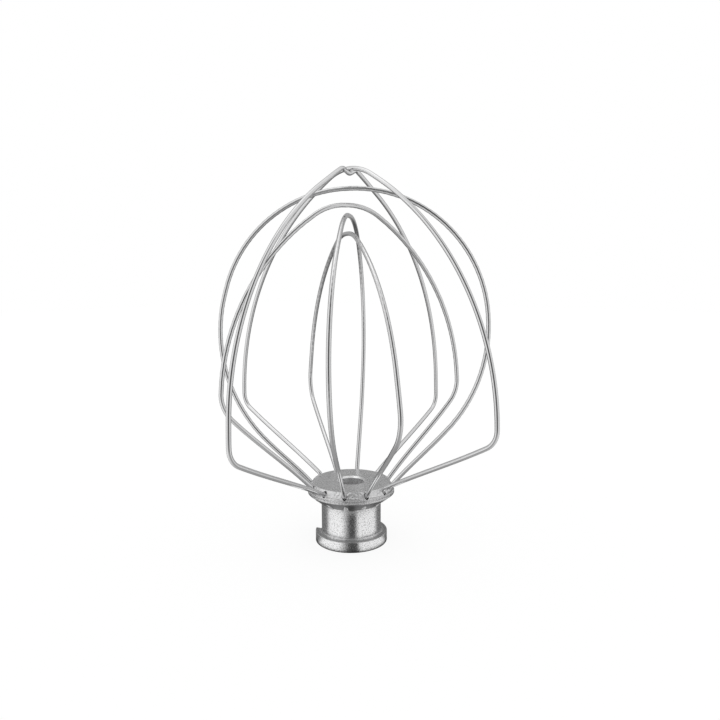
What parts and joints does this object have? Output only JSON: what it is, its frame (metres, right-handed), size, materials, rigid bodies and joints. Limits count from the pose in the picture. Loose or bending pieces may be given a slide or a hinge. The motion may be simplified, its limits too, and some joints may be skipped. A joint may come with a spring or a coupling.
{
  "type": "stand mixer wire whisk",
  "caption": "Balloon whisk for a stand mixer: bent steel wire loops fanned round a turned aluminium hub, whose bore slides onto the mixer's shaft and locks with a bayonet slot.",
  "frame": {"origin": "middle of the shaft bore's mouth, on the plane of the collar's foot", "axes": "+Z along the hub's axis towards the cage's tip, +X along the plane of the notched outer loop"},
  "size_m": [0.1335, 0.1317, 0.1524],
  "materials": {
    "hub": "satin, tumbled",
    "wire": "polished stainless steel wire"
  },
  "bodies": {
    "root": {"hub": "hub", "outer_loop_notched": "wire", "outer_loop_over": "wire", "arch_loop_wide": "wire", "shoulder_loop_tall": "wire", "arch_loop_narrow": "wire", "shoulder_loop_short": "wire"}
  },
  "joints": []
}
